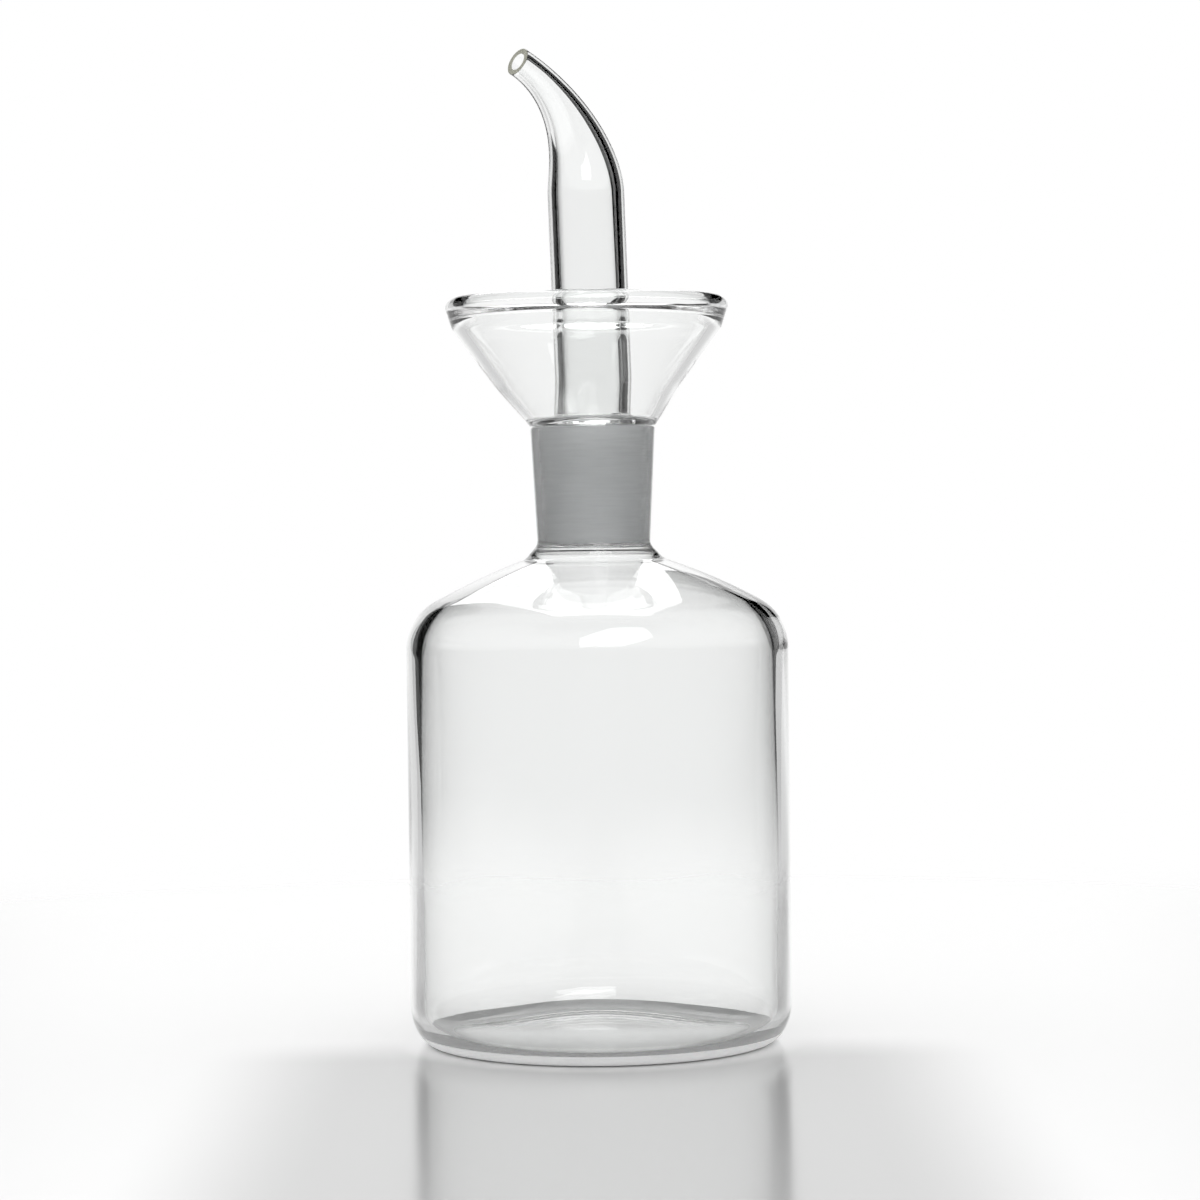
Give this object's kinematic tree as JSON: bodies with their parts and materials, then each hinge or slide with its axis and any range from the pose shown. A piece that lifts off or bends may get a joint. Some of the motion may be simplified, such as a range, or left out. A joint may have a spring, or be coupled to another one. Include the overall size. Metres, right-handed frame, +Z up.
{
  "type": "oil bottle",
  "caption": "Clear glass table bottle for oil with a ground neck, and a loose pourer with a drip-catching funnel and a bent spout.",
  "frame": {"origin": "middle of the base, on the surface that the bottle stands on", "axes": "+Z up along the bottle's axis, the spout pours toward -X, +Y completes the frame"},
  "size_m": [0.085, 0.085, 0.2187],
  "materials": {
    "clear_glass": "fire-polished",
    "ground_glass": "ground matt"
  },
  "bodies": {
    "bottle": {"bottle_body": "clear_glass", "neck_socket": "ground_glass"},
    "pourer": {"ground_cone": "ground_glass", "drip_funnel": "clear_glass", "spout_tube": "clear_glass"}
  },
  "joints": [
    {"name": "pourer_lift", "type": "slide", "parent": "bottle", "child": "pourer", "axis": [0, 0, 1], "range_m": [0, 0.03]}
  ]
}
